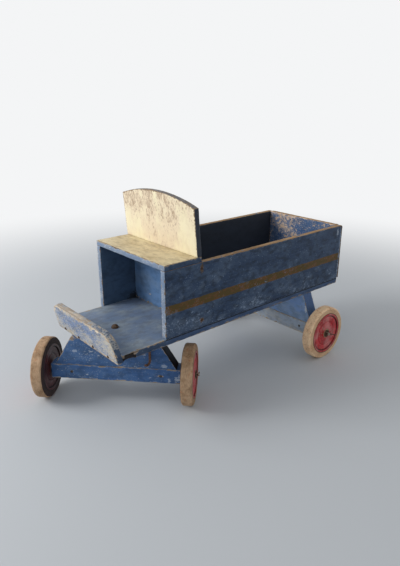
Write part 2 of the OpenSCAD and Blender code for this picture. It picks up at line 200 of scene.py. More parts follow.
def broken_at(add, here, ragged, centre, reach):
    """1 round a centre, as far as its reach along each axis, with a ragged edge."""
    apart = add("VectorMath", here, centre, **MINUS)
    apart = add("VectorMath", apart, reach, operation="DIVIDE")
    apart = add("VectorMath", apart, operation="LENGTH")
    return add("MapRange", add("Math", apart, ragged, **PLUS), 1.0, 0.85, **SOFT)


def painted_pine(name, coat, faded, ground, wood=("A39486", "6F6256"), worn_mm=1.5, patch_mm=14,
                 sound=0.86, flecks=((6, 4, 0.64, 0.5),), scratches=0.4, soil=0.25,
                 dirt="20262E", heavier=(), stripe=None, plugs=(), knocks=()):
    """Pine under old brushed oil paint. The eye sees a dull sheen with fine brush lines,
    small pale flecks and scratches, and bare grey-brown wood on the arrises and in patches.
    sound is how much wear the coat stands before the wood shows. Each row of flecks is their
    length and width in millimetres, the wear at which they start, and how plain they are.
    Each row of heavier is an axis, the places along it between which the wear grows, and by
    how much. A stripe is its colour, its lower and upper edge, and what it has browned to.
    plugs and knocks are places and their reach along each axis: at a plug the coat broke to
    the wood, at a knock it is marked with the colour of that row."""
    material, add, shader = start_material(name)
    here = add("TexCoord", result="Object")
    place = add("Attribute", attribute_name="grain_place", result="Vector")
    arris = add("Attribute", attribute_name="arris_mm", result="Fac")

    # Growth rings cut at a flat angle stand about 6 mm apart, brush lines about 2.5 mm. A row
    # is how many there are to the metre along and across the wood, how far the pattern is
    # moved, its detail, its roughness and how much it swirls.
    grain, brush, cloud, smudge, patch, ragged, *spots = [
        add("TexNoise", add("Mapping", place, Scale=(along, across, across), Location=moved),
            Scale=1.0, Detail=detail, Roughness=roughness, Distortion=swirl)
        for along, across, moved, detail, roughness, swirl in (
            (13, 165, (0, 0, 0), 6, 0.6, 0.5),
            (9, 400, (3, 1, 2), 3, 0.55, 0),
            (9, 17, (7, 5, 1), 5, 0.62, 0),
            (38, 60, (2, 9, 6), 4, 0.6, 0),
            (650 / patch_mm, 1000 / patch_mm, (1, 8, 4), 9, 0.62, 0),
            (150, 300, (5, 5, 2), 6, 0.65, 0),
            *[(1000 / length, 1000 / width, (length, 3, 9), 5, 0.6, 0)
              for length, width, *_ in flecks])]

    # Scratches are drawn 1.5 mm wide, coarser than real, so that they show
    marks = []
    for turn, moved in (((0.4, 0.75, 0.8), (3, 6, 2)), ((-0.5, -0.85, -0.7), (8, 1, 5))):
        turned = add("Mapping", place, Rotation=turn)
        turned = add("Mapping", turned, Scale=(45, 420, 420), Location=moved)
        mark = add("TexNoise", turned, Scale=1.0, Detail=1, Roughness=0.55)
        marks.append(add("MapRange", mark, 0.70, 0.76, **SOFT))
    lines = add("Math", add("Math", *marks, **LARGER),
                add("MapRange", smudge, 0.45, 0.60, **SOFT), **TIMES)

    # Where paint is gone: in bites along the arrises, and in patches that gather
    wear = add("Math", add("Math", cloud, 0.5, **MINUS), 0.5, **TIMES)
    for axis, low, high, amount in heavier:
        more = add("SeparateXYZ", here, result=axis)
        more = add("MapRange", more, low, high, 0.0, amount, **SOFT)
        wear = add("Math", wear, more, **PLUS)
    reach = add("Math", add("MapRange", smudge, 0.36, 0.62, 0.1, 1.5, **SOFT),
                add("MapRange", patch, 0.38, 0.62, 0.2 * worn_mm, 1.8 * worn_mm, **SOFT), **TIMES)
    inside = add("Math", arris, reach, **MINUS)
    wearing = add("Math", patch, wear, **PLUS)
    bare = add("Math", add("MapRange", inside, 0.35, -0.35, **SOFT),
               add("MapRange", wearing, sound, sound + 0.02, **SOFT), **LARGER)
    ragged = add("Math", add("Math", ragged, 0.5, **MINUS), 3.5, **TIMES)
    for plug in plugs:
        bare = add("Math", bare, broken_at(add, here, ragged, *plug), **LARGER)
    rim = add("Math", add("MapRange", inside, 1.3, 0.2, **SOFT),
              add("MapRange", wearing, sound - 0.035, sound, **SOFT), **LARGER)

    fading = add("Math", cloud, add("Math", wear, 0.7, **TIMES), **PLUS)
    paint = layered(add, coat, (fading, 0.38, 0.66, 1.0, faded), (brush, 0.30, 0.72, 0.4, faded),
                    (smudge, 0.56, 0.34, soil, dirt))
    if stripe:
        # Painted by hand, so its edges wander by a few millimetres and its coat wore thin
        colour, low, high, browned = stripe
        colour = layered(add, colour, (smudge, 0.44, 0.60, 1.0, browned))
        wander = add("Math", add("Math", patch, 0.5, **MINUS), 6 * MM, **TIMES)
        height = add("Math", add("SeparateXYZ", here, result="Z"), wander, **PLUS)
        band = add("Math", add("MapRange", height, low - 0.6 * MM, low + 0.6 * MM, **SOFT),
                   add("MapRange", height, high + 0.6 * MM, high - 0.6 * MM, **SOFT), **TIMES)
        held = add("Math", patch, add("Math", brush, 0.3, **TIMES), **PLUS)
        held = add("MapRange", held, 0.86, 0.76, **SOFT)
        paint = add("Mix", add("Math", band, held, **TIMES), paint, colour, **COLOURS)
    for spot, (_, _, level, plain) in zip(spots, flecks):
        spot = add("Math", spot, wear, **PLUS)
        paint = layered(add, paint, (spot, level, level + 0.07, plain, ground))
    marked = [(broken_at(add, here, ragged, centre, size), KNOCK_SHARE, colour)
              for centre, size, colour in knocks]
    for pattern, most, colour in (*marked, (lines, scratches, ground),
                                  (rim, RIM_SHARE, ground)):
        share = add("Math", pattern, most, **TIMES)
        paint = add("Mix", share, paint, colour, **COLOURS)

    timber = layered(add, wood[0], (grain, 0.36, 0.64, 1.0, wood[1]),
                     (smudge, 0.60, 0.35, 0.6, wood[1]))
    dull = add("Math", add("MapRange", cloud, 0.3, 0.7, 0.42, 0.60, **SOFT),
               add("Math", bare, 0.86, **TIMES), **LARGER)
    # The coat is about 0.2 mm thick; the wood's softer rings lie about 0.1 mm lower
    height = add("Math", add("Math", 1.0, bare, **MINUS), 0.55, **TIMES)
    for pattern, amount in ((brush, 0.16), (grain, 0.25), (lines, -0.12)):
        raised = add("Math", pattern, amount, **TIMES)
        height = add("Math", height, raised, **PLUS)
    # Chalked paint with dirt in it throws back less light than a fresh coat
    feed(shader, {"Base Color": add("Mix", bare, paint, timber, **COLOURS),
                  "Roughness": dull, "IOR": 1.48, "Specular IOR Level": 0.2,
                  "Normal": add("Bump", Height=height, Distance=0.5 * MM, Strength=0.9)})
    return material


def turned_place(add):
    """Where a point of a turned piece is: its place from the middle, its place along the axle,
    its distance from the axle, and how far round it is."""
    place = add("Attribute", attribute_name="grain_place", result="Vector")
    x, y, along = [add("SeparateXYZ", place, result=axis) for axis in (X, Y, Z)]
    squares = [add("Math", part, part, **TIMES) for part in (x, y)]
    radius = add("Math", add("Math", *squares, **PLUS), 0.5, operation="POWER")
    return place, along, radius, add("Math", y, x, operation="ARCTAN2")


def turned_red_wood(name, coat, faded, rubbed_to, wood, groove):
    """Turned beech under red enamel. The eye sees turning rings, enamel rubbed pink and brown on
    the rim and the boss, darker grooves, and painted shade round the disc's edge where it meets
    the tyre."""
    material, add, shader = start_material(name)
    place, along, radius, turn = turned_place(add)
    arris = add("Attribute", attribute_name="arris_mm", result="Fac")
    depth = add("Attribute", attribute_name="groove_mm", result="Fac")
    # The tool left rings about 2.5 mm apart
    polar = add("CombineXYZ", add("Math", radius, 420, **TIMES),
                add("Math", turn, 2.0, **TIMES), along)
    rings = add("TexNoise", polar, Scale=1.0, Detail=3.0)
    # Fading in clouds 30 mm wide, chips of 6 mm, and a haze where the enamel was handled
    cloud, chip, haze = [
        add("TexNoise", add("Mapping", place, Scale=(per_metre,) * 3, Location=moved),
            Scale=1.0, Detail=detail, Roughness=roughness)
        for per_metre, moved, detail, roughness in (
            (34, (2, 4, 6), 6, 0.65), (170, (9, 2, 3), 7, 0.6), (22, (3, 8, 5), 4, 0.6))]

    wearing = add("Math", chip, add("Math", cloud, 0.5, **TIMES), **PLUS)
    inside = add("Math", arris, add("MapRange", chip, 0.46, 0.72, -0.8, 1.1, **SOFT), **MINUS)
    bare = add("Math", add("MapRange", wearing, 1.06, 1.09, **SOFT),
               add("MapRange", inside, 0.3, -0.2, **SOFT), **LARGER)
    # The washer has rubbed a ring of enamel off beside it
    rub = add("Math", chip, 5 * MM, **TIMES)
    rub = add("Math", radius, rub, **MINUS)
    rub = add("MapRange", rub, washer_radius + 1.2 * MM, washer_radius + 0.4 * MM, **SOFT)
    bare = add("Math", bare, rub, **LARGER)
    beside = add("Math", radius, disc_radius - DISC_RIM - GROOVE_WIDTH / 2, **MINUS)
    beside = add("Math", beside, operation="ABSOLUTE")

    red = layered(add, coat, (cloud, 0.40, 0.62, 1.0, faded), (rings, 0.50, 0.75, 0.25, rubbed_to),
                  (haze, 0.46, 0.64, 0.6, rubbed_to))
    red = add("Mix", bare, red, add("Mix", rings, *wood, **COLOURS), **COLOURS)
    # Darker in and beside the grooves, and painted shade in a ring at the disc's edge where it
    # meets the tyre
    red = layered(add, red, (depth, 0.6, 1.6, 0.85, groove),
                  (radius, disc_radius - 1.4 * MM, disc_radius - 0.5 * MM, 0.85, groove),
                  (beside, 3.4 * MM, 1.2 * MM, 0.6, groove))
    coat_height = add("Math", add("Math", 1.0, bare, **MINUS), 0.5, **TIMES)
    height = add("Math", add("Math", rings, 0.3, **TIMES), coat_height, **PLUS)
    feed(shader, {"Base Color": red,
                  "Roughness": add("MapRange", cloud, 0.35, 0.65, 0.38, 0.58, **SOFT),
                  "Normal": add("Bump", Height=height, Distance=0.5 * MM, Strength=0.8)})
    return material


def perished_rubber(name, skin, aged, streaked, stain, gap, wall):
    """Solid rubber gone hard with age. The eye sees a dull chalky skin, fine cracks along the
    tread, darker side walls, painted shade beside the disc and a few rust-brown stains."""
    material, add, shader = start_material(name)
    place, along, radius, turn = turned_place(add)
    # Streaks about 3 mm wide and 10 mm long run round the tyre
    polar = add("CombineXYZ", *[add("Math", part, scale, **TIMES)
                                for part, scale in ((radius, 300), (turn, 9.0), (along, 300))])
    streak = add("TexNoise", polar, Scale=1.0, Detail=6.0, Roughness=0.65)
    cloud, spot = [
        add("TexNoise", add("Mapping", place, Scale=(per_metre,) * 3, Location=moved),
            Scale=1.0, Detail=detail, Roughness=roughness)
        for per_metre, moved, detail, roughness in (
            (30, (4, 1, 7), 6, 0.6), (75, (8, 3, 2), 7, 0.65))]
    crack = add("TexVoronoi", add("Mapping", polar, Scale=(0.5, 0.9, 0.35)), Scale=1.0,
                Randomness=1.0, feature="DISTANCE_TO_EDGE")
    split = add("Math", add("MapRange", crack, 0.05, 0.015, **SOFT),
                add("MapRange", cloud, 0.46, 0.60, **SOFT), **TIMES)

    rubber = layered(add, skin, (cloud, 0.36, 0.66, 1.0, aged),
                     (streak, 0.42, 0.70, 0.5, streaked), (spot, 0.56, 0.70, 0.6, stain))
    rubber = add("Mix", add("Math", split, 0.5, **TIMES), rubber, gap, **COLOURS)
    # The side walls grow darker towards the disc, and a ring of painted shade lies right beside it
    rubber = layered(add, rubber,
                     (radius, wheel_radius - 3 * MM, wheel_radius - 8 * MM, 0.55, wall),
                     (radius, disc_radius + 2.2 * MM, disc_radius + 1 * MM, 0.85, gap))
    height = add("Math", add("Math", streak, 0.5, **TIMES),
                 add("Math", split, 0.6, **TIMES), **MINUS)
    feed(shader, {"Base Color": rubber, "IOR": 1.5,
                  "Roughness": add("MapRange", streak, 0.3, 0.7, 0.72, 0.9, **SOFT),
                  "Normal": add("Bump", Height=height, Distance=0.7 * MM, Strength=0.9)})
    return material


def old_steel(name, clean, rust, rusty, metal):
    """Mild steel left in the damp: rusty is the share that rust covers. The eye sees a dark
    dull metal between rough dark-brown scabs."""
    material, add, shader = start_material(name)
    here = add("TexCoord", result="Object")
    # Scabs about 4 mm across, pits about 1 mm
    scab, pits = [
        add("TexNoise", add("Mapping", here, Scale=(per_metre,) * 3, Location=moved),
            Scale=1.0, Detail=detail, Roughness=roughness)
        for per_metre, moved, detail, roughness in (
            (260, (0, 0, 0), 8, 0.65), (1100, (2, 7, 4), 3, 0.55))]
    covered = add("MapRange", scab, 0.70 - 0.5 * rusty, 0.78 - 0.5 * rusty, **SOFT)
    brown = layered(add, rust, (pits, 0.35, 0.65, 1.0, "2B1C15"))
    height = add("Math", covered, add("Math", pits, 0.5, **TIMES), **PLUS)
    feed(shader, {"Base Color": add("Mix", covered, clean, brown, **COLOURS),
                  "Metallic": add("MapRange", covered, 0.0, 1.0, metal, 0.0, **SOFT),
                  "Roughness": add("MapRange", covered, 0.0, 1.0, 0.45, 0.9, **SOFT),
                  "Normal": add("Bump", Height=height, Distance=0.3 * MM, Strength=0.8)})
    return material


# ---------------------------------------------------------------- places on the cart
def radius_of(node):
    """The radius of a round piece whose axle lies level."""
    lo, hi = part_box(node)
    return (hi.z - lo.z) / 2


wheel_radius = radius_of("tyre_rear_left")
disc_radius = wheel_radius - TYRE_HEIGHT
bush_radius = radius_of("bush_rear_left")
washer_radius = radius_of("outer_washer_rear_left")
floor_lo, floor_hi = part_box("floor_board")
seat_lo, seat_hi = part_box("seat_board")
tail_lo, tail_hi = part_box("tailboard")
back_lo, back_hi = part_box("seat_back")
nose_lo, nose_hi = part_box("nose_board")
beam_lo, beam_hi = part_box("rear_axle_beam")
rear_bolster_lo, rear_bolster_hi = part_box("rear_bolster")
front_bolster_lo, front_bolster_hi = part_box("front_bolster")
panel_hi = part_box("side_panel_left")[1]
wall_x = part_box("partition")[1].x
rot_centre = Vector((nose_lo.x - 17 * MM, floor_hi.y + 1 * MM, floor_lo.z + 4 * MM))
joints = {joint["name"]: joint for joint in frame["joints"]}
kingpin = Vector(joints["steer"]["pos_m"])
across = joints["spin_front_left"]["axis"]
steer = math.atan2(-across[0], across[1])


def screw_places(node, face):
    """Where the lowest and the highest screw of a row stand, on a face at that y."""
    lo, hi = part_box(node)
    middle, in_from_end = (lo.x + hi.x) / 2, (hi.x - lo.x) / 2
    return [((middle, face, lo.z + in_from_end), LOW_PLUG),
            ((middle, face, hi.z - in_from_end), HIGH_PLUG)]


def on_front_face(left, height):
    """A place on the front face of the turned front axle, that far left of the kingpin."""
    place = Matrix.Rotation(steer, 3, "Z") @ Vector((BEAM_DEPTH / 2, left, height))
    return place + Vector((kingpin.x, kingpin.y, 0))


# ---------------------------------------------------------------- finishes
stripe = ("564624", floor_hi.z + STRIPE_LOW, floor_hi.z + STRIPE_HIGH, "684A2C")
# Painted shade: a dark patch in the foot well's far corner, where the partition, the right panel's
# inside and the deck meet
corner_shade = ((wall_x, tail_lo.y, floor_hi.z), CORNER_SHADE_REACH, "2E2926")

# The panels' outsides: dark blue gone dull, dusty and scratched, under an ochre stripe
navy = dict(coat="2B3E5A", faded="475870", ground="8A9CB4")
left_paint, right_paint = [
    painted_pine("navy_oil_paint_with_stripe_" + side, **navy, stripe=stripe, sound=0.90,
                 wood=("857466", "4F443C"),
                 flecks=((5, 4, 0.67, 0.4), (15, 8, 0.69, 0.6), (45, 30, 0.62, 0.12)),
                 scratches=1.0, soil=0.5, dirt="1C2022",
                 heavier=((Z, stripe[1] + 20 * MM, stripe[1] - 40 * MM, 0.08),
                          (X, tail_lo.x + 16 * MM, tail_lo.x + 2 * MM, 0.60)),
                 plugs=screw_places("partition_screws_" + side, face)
                 + [((tail_lo.x, face, panel_hi.z), TOP_CORNER)],
                 knocks=[((tail_lo.x + 26 * MM, face, panel_hi.z - 22 * MM), STREAK, "A8B4C4")])
    for side, face in (("left", tail_hi.y + SIDE_THICKNESS),
                       ("right", tail_lo.y - SIDE_THICKNESS))]

# Inside, where little rubs on it, the coat is nearly whole; its dark colour there is painted shade
inside_shade_paint = painted_pine(
    "navy_oil_paint_inside_with_painted_shade", coat="343A45", faded="30353E", ground="4A586C", worn_mm=0.8,
    sound=0.96, flecks=((6, 4, 0.66, 0.3),), scratches=0.2)
leg_paint = painted_pine(
    "blue_oil_paint_in_the_foot_well", coat="50667F", faded="485B71", ground="6C7F98",
    worn_mm=0.8, sound=0.96, flecks=((6, 4, 0.66, 0.25),), scratches=0.2, knocks=[corner_shade])

# On edges the arrises are bare, and along the top most of the coat has gone
edge_paint = painted_pine(
    "navy_oil_paint_on_edges", **navy, worn_mm=2.0, sound=0.82, flecks=((6, 4, 0.645, 0.45),))
floor_edge_paint = painted_pine(
    "navy_oil_paint_on_the_floor_edge", coat="3A5072", faded="506484", ground="8A9CB4",
    worn_mm=2.2, sound=0.82, flecks=((6, 4, 0.66, 0.4),),
    stripe=("1A212D", floor_hi.z - JOINT_LINE, floor_hi.z, "151A23"))
rubbed_paint = painted_pine(
    "navy_oil_paint_rubbed_off_top_edges", **navy, worn_mm=3.0, wood=("BC9C78", "8E7050"),
    sound=0.36, patch_mm=24)

# Where feet and heels rub, the blue is pale, chalky and scuffed
front_edge_paint = painted_pine(
    "chalky_blue_oil_paint", coat="7488A4", faded="8E9AAB", ground="C6CCD0", worn_mm=1.8,
    sound=0.84, flecks=((7, 4, 0.58, 0.7),), scratches=0.5, soil=0.15)
# The deck, the partition and the foot well's sides each carry the corner's painted shade
deck_paint = painted_pine(
    "grey_blue_oil_paint", coat="6F829F", faded="8A96A2", ground="AEB6BC",
    wood=("B0A290", "857868"), worn_mm=3.0, sound=0.88,
    flecks=((6, 4, 0.64, 0.3), (50, 40, 0.60, 0.15)), scratches=0.8, soil=0.3, dirt="625F58",
    knocks=[corner_shade])
scrape = ((wall_x, tail_lo.y + 82 * MM, floor_hi.z + 33 * MM), SCRAPE, "D0BC9A")
partition_paint = painted_pine(
    "mid_blue_oil_paint", coat="6084B0", faded="6C87A8", ground="93A0AE",
    wood=("AA9C8A", "8A7C6C"), worn_mm=6.0, sound=0.90, flecks=((6, 4, 0.66, 0.2),),
    scratches=0.3, knocks=[corner_shade, scrape])

# Flaked and knocked off pale wood
tail_paint = painted_pine(
    "flaking_blue_oil_paint", coat="3C5A88", faded="526C92", ground="BCB0A8",
    wood=("E4CDB8", "BCA28C"), worn_mm=2.4, patch_mm=9, sound=0.835, flecks=((5, 3, 0.78, 0.6),),
    heavier=((Z, tail_lo.z + 30 * MM, tail_lo.z + 130 * MM, 0.13),
             (Y, tail_lo.y + 20 * MM, tail_lo.y + 70 * MM, 0.09),
             (Y, tail_hi.y - 100 * MM, tail_hi.y - 200 * MM, 0.09)))
nose_paint = painted_pine(
    "rubbed_pale_blue_oil_paint", coat="7289B0", faded="8D9CB6", ground="D6CDB8",
    wood=("EEDFC6", "A8927A"), worn_mm=5.0, patch_mm=4.5, sound=0.64,
    flecks=((4, 3, 0.48, 0.6), (14, 8, 0.56, 0.4)), scratches=0.6, soil=0.55, dirt="6A6660",
    heavier=((Y, 40 * MM, 140 * MM, 0.03),))
nose_top_paint = painted_pine(
    "blue_oil_paint_rubbed_off_the_nose", coat="46546C", faded="66707E", ground="B4B4B2",
    wood=("C6BAAA", "96897C"), worn_mm=3.0, patch_mm=8, sound=0.62, scratches=0.5,
    flecks=((5, 3, 0.50, 0.6),), heavier=((Y, 110 * MM, 40 * MM, 0.17),))

# The front axle kept the brightest blue, with pale chips and knocks
bright_blue = dict(coat="3F6397", faded="4F6F9B", ground="B9C1CA", worn_mm=1.5, scratches=0.9,
                   flecks=((5, 3, 0.63, 0.6), (16, 7, 0.65, 0.8)), soil=0.3,
                   wood=("B5A592", "7C6C5E"))
screw_lo, screw_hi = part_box("front_lock_screws")
screw_z = (screw_lo.z + screw_hi.z) / 2
beam_end = FRONT_BEAM_LENGTH / 2
front_beam_paint = painted_pine(
    "bright_blue_oil_paint_on_the_beam", **bright_blue, heavier=((Y, 30 * MM, 120 * MM, 0.05),),
    plugs=[(on_front_face(beam_end - BEAM_SCREW_IN, screw_z), BEAM_PLUG)],
    knocks=[(on_front_face(beam_end - inward, screw_z + up), SCUFF, CHALK)
            for inward, up in ((8 * MM, 1 * MM), (17 * MM, -8 * MM), (37 * MM, -14 * MM))])
front_bolster_paint = painted_pine(
    "bright_blue_oil_paint_on_the_bolster",
    **dict(bright_blue, flecks=((5, 3, 0.65, 0.6), (16, 7, 0.66, 0.8))),
    heavier=((Y, 40 * MM, 120 * MM, 0.04),),
    plugs=[(on_front_face(-FRONT_BOLSTER_TOP / 2, front_bolster_hi.z), CORNER_CHIP)],
    knocks=[(on_front_face(left, front_bolster_lo.z + up), WHITE_KNOCK, CHALK)
            for left, up in ((FRONT_BOLSTER_FOOT / 2 - 36 * MM, 10 * MM),
                             (-FRONT_BOLSTER_TOP / 2 + 10 * MM, 46 * MM))])

# The rear axle is a paler blue, and its beam has bleached to grey
rear_end = Vector((rear_bolster_hi.x, (rear_bolster_hi.y + REAR_BOLSTER_TOP / 2) / 2 - 4 * MM,
                   (rear_bolster_lo.z + rear_bolster_hi.z) / 2))
rear_paint = painted_pine(
    "pale_blue_oil_paint", coat="86ABE2", faded="97B2D6", ground="C6CACC", worn_mm=1.6,
    sound=0.86, flecks=((6, 4, 0.66, 0.4),), scratches=0.5,
    knocks=[(rear_end, END_KNOCK, "DDE2E6")])
rear_beam_paint = painted_pine(
    "pale_grey_oil_paint", coat="B2C2D6", faded="C8CACA", ground="E4DECC",
    wood=("D8C6A6", "A4907A"), worn_mm=2.8, sound=0.82, flecks=((9, 5, 0.60, 0.5),),
    scratches=0.5)

# Sawn ends: the rear ones blue, the front axle's painted nearly black as painted shade, which also
# fills the deck's rot hollow
rear_end_paint = painted_pine(
    "blue_oil_paint_on_sawn_ends", coat="46618E", faded="506A92", ground="93A0AE", worn_mm=1.6)
black_shade_paint = painted_pine(
    "paint_blackened_as_shade", coat="26242A", faded="1E1B1C", ground="322F31",
    wood=("332A23", "231D19"), worn_mm=1.6)

# The seat's cream, dirty where it was sat on, and crazed to brown along the back's top
arch_paint = painted_pine(
    "grimy_paint_on_the_arch", coat="66666C", faded="7E7368", ground="A09484",
    wood=("A08A70", "7A6650"), worn_mm=2.0, sound=0.74)
cream_paint = painted_pine(
    "cream_oil_paint", coat="E0D1AC", faded="CBB994", ground="8E7E66", wood=("9A876F", "75624F"),
    worn_mm=1.8, patch_mm=10, sound=0.84, flecks=((26, 6, 0.58, 0.35), (60, 16, 0.55, 0.35)),
    scratches=0.3, soil=0.22, dirt="57452F")
back_paint = painted_pine(
    "cream_oil_paint_crazed", coat="FAF0CC", faded="F0DFC2", ground="9A7C64",
    wood=("A89074", "7E6A54"), worn_mm=1.8, patch_mm=7, sound=0.93,
    flecks=((9, 3, 0.665, 0.6), (20, 9, 0.66, 0.35)), scratches=0.15, soil=0.10, dirt="A8845F",
    heavier=((Z, back_lo.z + 40 * MM, back_lo.z + 120 * MM, 0.13), (Y, 100 * MM, -80 * MM, 0.02)))

# Outer sides of the wheels, and their inner sides painted dark as painted shade. The rear tyres'
# rubber is painted paler as painted light.
red_enamel = turned_red_wood(
    "red_enamel_on_beech", "C8242C", "9E1C22", "CC8C88", ("B89470", "80624A"), "200E0C")
shaded_red = turned_red_wood(
    "shaded_red_enamel_on_beech", "541E1F", "361718", "4C2824", ("40322A", "2C211B"), "120A09")
tan_rubber = perished_rubber(
    "perished_tan_rubber", "C0A080", "9A7A5A", "7C6046", "AC6C40", "3D2C20", "947858")
# The rear tyres' rubber, painted paler as painted light
brightened_rubber = perished_rubber(
    "tan_rubber_brightened_as_light", "FFE0B8", "F6CAA0", "D0A478", "D0702C", "4D382A", "B28C6A")
shaded_rubber = perished_rubber(
    "shaded_tan_rubber", "3F2B27", "30201E", "261A18", "442C20", "16100E", "33231F")

# Steel, from a wire with a light bloom of rust to dull screws and washers
rusty_wire = old_steel("rusty_drawn_wire", "6E5548", "8A6450", rusty=0.6, metal=0.2)
brown_steel = old_steel("browned_coach_bolt_steel", "4E4034", "75583E", rusty=0.5, metal=0.3)
rusty_steel = old_steel("rusty_mild_steel", "3A322D", "5C4130", rusty=0.8, metal=0.5)
worn_steel = old_steel("worn_mild_steel", "9C9082", "6B5442", rusty=0.3, metal=0.6)
dark_steel = old_steel("dull_mild_steel", "57524D", "543A2C", rusty=0.3, metal=0.9)


# ---------------------------------------------------------------- modelling
def only(piece=None):
    """Selects this piece alone, or nothing."""
    bpy.ops.object.select_all(action="DESELECT")
    if piece:
        piece.select_set(True)
        bpy.context.view_layer.objects.active = piece


def done():
    """Leaves edit mode, which writes the edit to the mesh."""
    bpy.ops.object.mode_set(mode="OBJECT")


def pick(piece, kind, test):
    """Goes into edit mode on the piece with only those vertices, edges or faces selected whose
    middle passes the test."""
    only(piece)
    bpy.ops.object.mode_set(mode="EDIT")
    bpy.ops.mesh.select_mode(type=kind)
    bpy.ops.mesh.select_all(action="DESELECT")
    done()
    mesh = piece.data
    corners = mesh.vertices
    for item in {"VERT": corners, "EDGE": mesh.edges, "FACE": mesh.polygons}[kind]:
        own = [item] if kind == "VERT" else [corners[k] for k in item.vertices]
        item.select = test(sum((corner.co for corner in own), Vector()) / len(own))
    bpy.ops.object.mode_set(mode="EDIT")


def everywhere(*place):
    """The test that every place passes."""
    return True


def apply_place():
    """Moves the selected pieces' place, turn and size into their meshes."""
    bpy.ops.object.transform_apply(location=True, rotation=True, scale=True)


def block(name, lo, hi):
    """A sawn block between two corners."""
    lo, hi = Vector(lo), Vector(hi)
    only()
    bpy.ops.mesh.primitive_cube_add(size=1, location=(lo + hi) / 2)
    piece = bpy.context.object
    piece.name = piece.data.name = name
    piece.scale = hi - lo
    apply_place()
    return piece


def cylinder(radius, length, centre, rotation=(0, 0, 0), vertices=96):
    """A round bar to cut another piece with."""
    only()
    bpy.ops.mesh.primitive_cylinder_add(vertices=vertices, radius=radius, depth=length,
                                        location=centre, rotation=rotation)
    return bpy.context.object


def saw(piece, point, normal):
    """Saws off what lies on the normal's side of a plane and closes the cut."""
    pick(piece, "FACE", everywhere)
    bpy.ops.mesh.bisect(plane_co=point, plane_no=normal, use_fill=True, clear_outer=True)
    done()


def round_edges(piece, test, radius, segments):
    """Rounds the edges whose middle passes the test."""
    pick(piece, "EDGE", test)
    bpy.ops.mesh.bevel(offset=radius, segments=segments, affect="EDGES")
    done()


def apply_modifier(piece, kind, **settings):
    """Adds a modifier with its settings to a piece, and applies it."""
    made = piece.modifiers.new(kind.lower(), kind)
    for name, value in settings.items():
        setattr(made, name, value)
    only(piece)
    bpy.ops.object.modifier_apply(modifier=made.name)


def cut_with(piece, tool, operation):
    """Cuts a piece with another solid, which is then thrown away."""
    apply_modifier(piece, "BOOLEAN", operation=operation, object=tool, solver="EXACT")
    bpy.data.objects.remove(tool)


def clouds(name, width, depth):
    """An uneven pattern whose swellings are about this wide, for a Displace modifier."""
    made = bpy.data.textures.new(name, "CLOUDS")
    made.noise_scale = width
    made.noise_depth = depth
    return made


def sharp_edges(piece):
    """The sharp edges' ends as an array of pairs of points."""
    mesh = piece.data
    facing = {}
    for face in mesh.polygons:
        for key in face.edge_keys:
            facing.setdefault(key, []).append(face.normal.copy())
    corners = mesh.vertices
    return np.array([[corners[a].co[:], corners[b].co[:]] for (a, b), n in facing.items()
                     if len(n) == 2 and n[0].angle(n[1]) > ARRIS_ANGLE])


def distance_to(points, edges):
    """Each point's distance to the nearest of the edges."""
    start, along = edges[:, 0], edges[:, 1] - edges[:, 0]
    nearest = np.full(len(points), 1e9)
    for s, d in zip(start, along):
        t = np.clip(((points - s) @ d) / max(d @ d, 1e-12), 0, 1)
        nearest = np.minimum(nearest, np.linalg.norm(points - s - t[:, None] * d, axis=1))
    return nearest


def coordinates(piece):
    """The piece's points as an array."""
    co = np.empty(len(piece.data.vertices) * 3)
    piece.data.vertices.foreach_get("co", co)
    return co.reshape(-1, 3)


def keep(piece, name, values):
    """Keeps a number or a place with each point of the piece, for its finish to read."""
    kind, field = ("FLOAT_VECTOR", "vector") if values.ndim == 2 else ("FLOAT", "value")
    kept = piece.data.attributes.new(name, kind, "POINT")
    kept.data.foreach_set(field, np.ascontiguousarray(values, dtype=np.float32).ravel())


chipping = clouds("chipping", 11 * MM, 2)


def weather(piece, grain, seed, arris=1.3 * MM, chips=1.6 * MM, spacing=NET, sheltered=None):
    """Takes the arrises off a finished board, cuts it into a fine net and chips its edges.
    grain is the axis along which its wood runs; seed shifts its patterns; sheltered tells
    from x, y and z which points keep their paint."""
    edges = sharp_edges(piece)
    apply_modifier(piece, "BEVEL", width=arris, segments=2, limit_method="ANGLE",
                   angle_limit=ARRIS_ANGLE)
    co = coordinates(piece)
    lo, hi = co.min(0), co.max(0)
    pick(piece, "FACE", everywhere)
    for axis in (X, Y, Z):
        count = int((hi[axis] - lo[axis]) / spacing)
        normal = [float(other == axis) for other in (X, Y, Z)]
        for k in range(1, count):
            middle = (lo + hi) / 2
            middle[axis] = lo[axis] + (hi[axis] - lo[axis]) * k / count
            bpy.ops.mesh.select_all(action="SELECT")
            bpy.ops.mesh.bisect(plane_co=middle, plane_no=normal)
    done()
    near = distance_to(coordinates(piece), edges)
    group = piece.vertex_groups.new(name="near_an_arris")
    for index, share in enumerate(np.clip(1 - near / CHIPPED_WITHIN, 0, 1)):
        if share > 0:
            group.add([index], float(share), "REPLACE")
    apply_modifier(piece, "DISPLACE", texture=chipping, texture_coords="LOCAL",
                   direction="NORMAL", strength=-chips, mid_level=CHIP_LEVEL,
                   vertex_group="near_an_arris")
    co = coordinates(piece)
    if sheltered:
        near = np.where(sheltered(*co.T), FAR_FROM_ARRIS, near)
    order = [grain] + [axis for axis in (X, Y, Z) if axis != grain]
    keep(piece, "grain_place", co[:, order] + BOARD_SHIFT * seed)
    keep(piece, "arris_mm", near / MM)
    bpy.ops.object.shade_smooth_by_angle(angle=SMOOTH_ANGLE)


def paint_faces(piece, *coats):
    """Gives each face the first finish whose test its normal and middle pass."""
    for finish, _ in coats:
        piece.data.materials.append(finish)
    for face in piece.data.polygons:
        for slot, (_, test) in enumerate(coats):
            if test(face.normal, face.center):
                face.material_index = slot
                break


